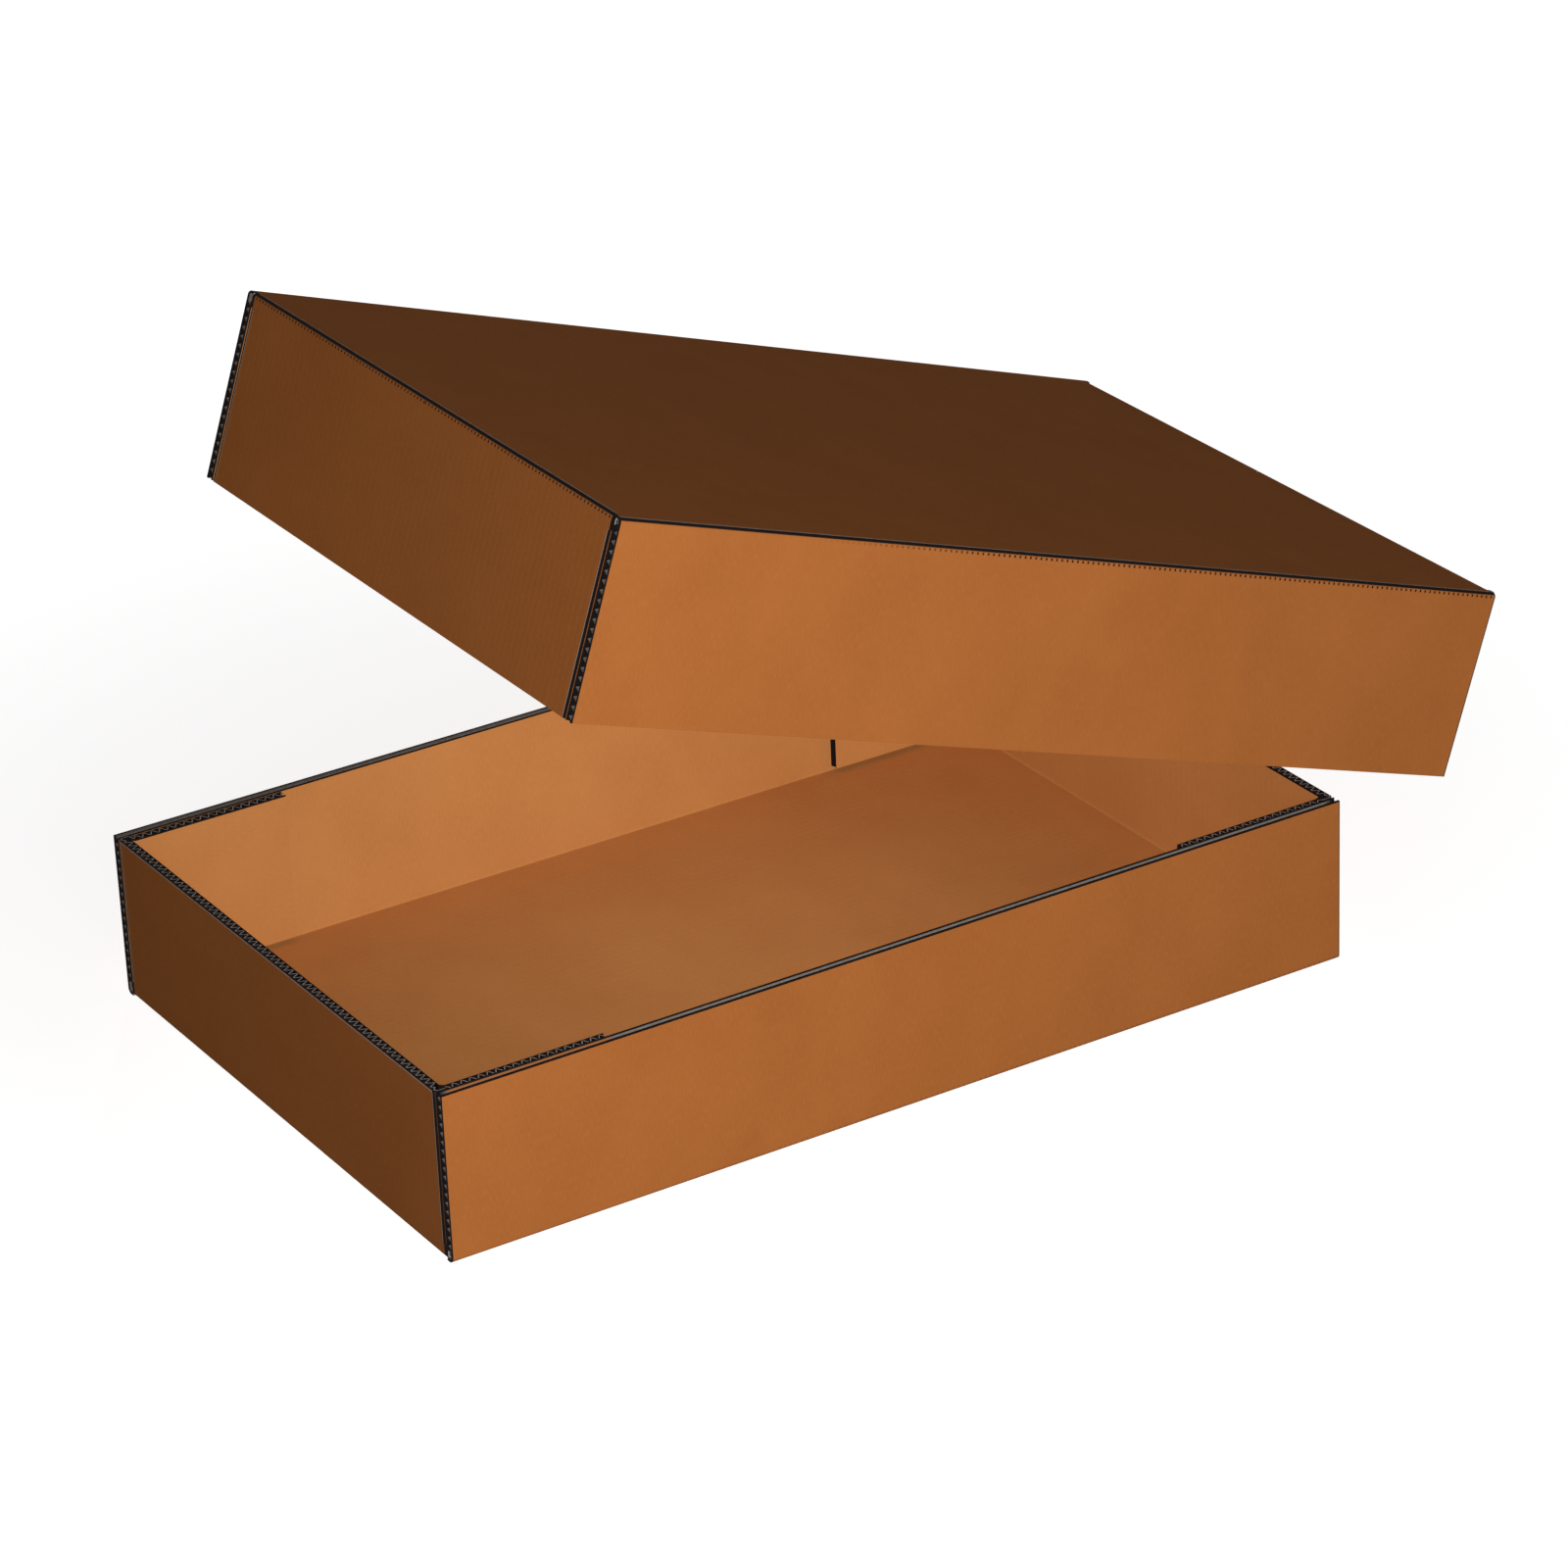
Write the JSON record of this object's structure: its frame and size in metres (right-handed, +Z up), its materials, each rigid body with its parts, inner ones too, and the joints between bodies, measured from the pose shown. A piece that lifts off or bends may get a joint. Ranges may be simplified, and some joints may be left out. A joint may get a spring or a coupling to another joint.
{
  "type": "two-piece telescope cardboard box with lift-off lid",
  "caption": "Shallow corrugated cardboard box in two folded halves: an open tray and a full-depth lid, lifted off and tilted above it.",
  "frame": {"origin": "centre of the tray's flat underside", "axes": "+Z up out of the open tray, +X along the box towards the end where the lifted lid hangs low, +Y across it"},
  "size_m": [0.3589, 0.213, 0.2103],
  "materials": {
    "kraft_board": "matt brown kraft liner on corrugated board"
  },
  "bodies": {
    "tray": {"tray": "kraft_board"},
    "lid": {"lid": "kraft_board"}
  },
  "joints": [
    {"name": "lid_lift", "type": "slide", "parent": "tray", "child": "lid", "axis": [0, 0, 1], "range_m": [0, 0.058]}
  ]
}
